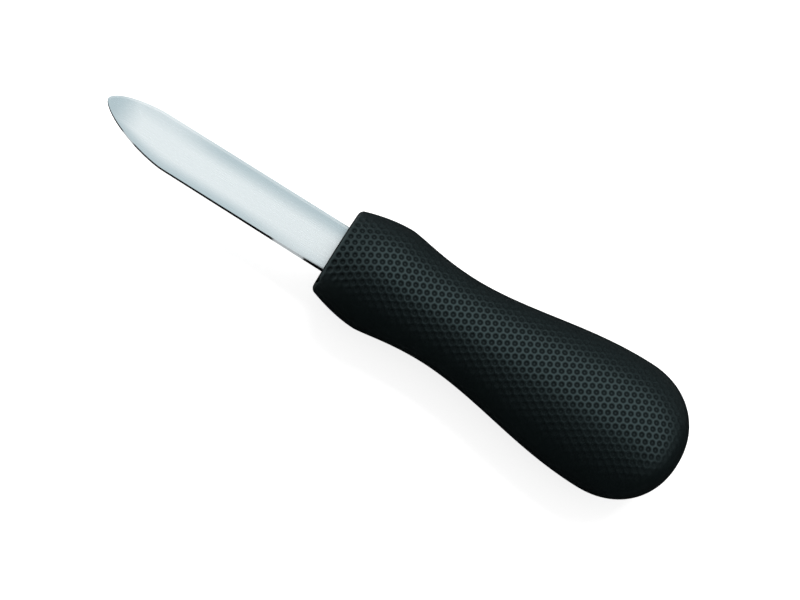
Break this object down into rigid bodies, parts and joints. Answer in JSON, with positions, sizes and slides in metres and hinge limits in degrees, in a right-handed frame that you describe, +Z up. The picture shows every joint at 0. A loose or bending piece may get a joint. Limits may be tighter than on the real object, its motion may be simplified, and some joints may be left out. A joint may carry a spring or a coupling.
{
  "type": "oyster knife",
  "caption": "Short spear-pointed steel blade fixed in a full, waisted soft grip, for prying oyster shells apart at the hinge.",
  "frame": {"origin": "on the surface that the knife lies on, under the middle of its length", "axes": "+X along the knife from the tip to the butt, +Y across it towards the edge nearest the tip, +Z up"},
  "size_m": [0.1887, 0.0412, 0.028],
  "materials": {
    "blade_steel": "satin polished stainless steel",
    "core_plastic": "matt black moulded plastic",
    "grip_rubber": "soft black elastomer with a fine dimple texture"
  },
  "bodies": {
    "root": {"blade": "blade_steel", "handle_core": "core_plastic", "grip_sleeve": "grip_rubber"}
  },
  "joints": []
}
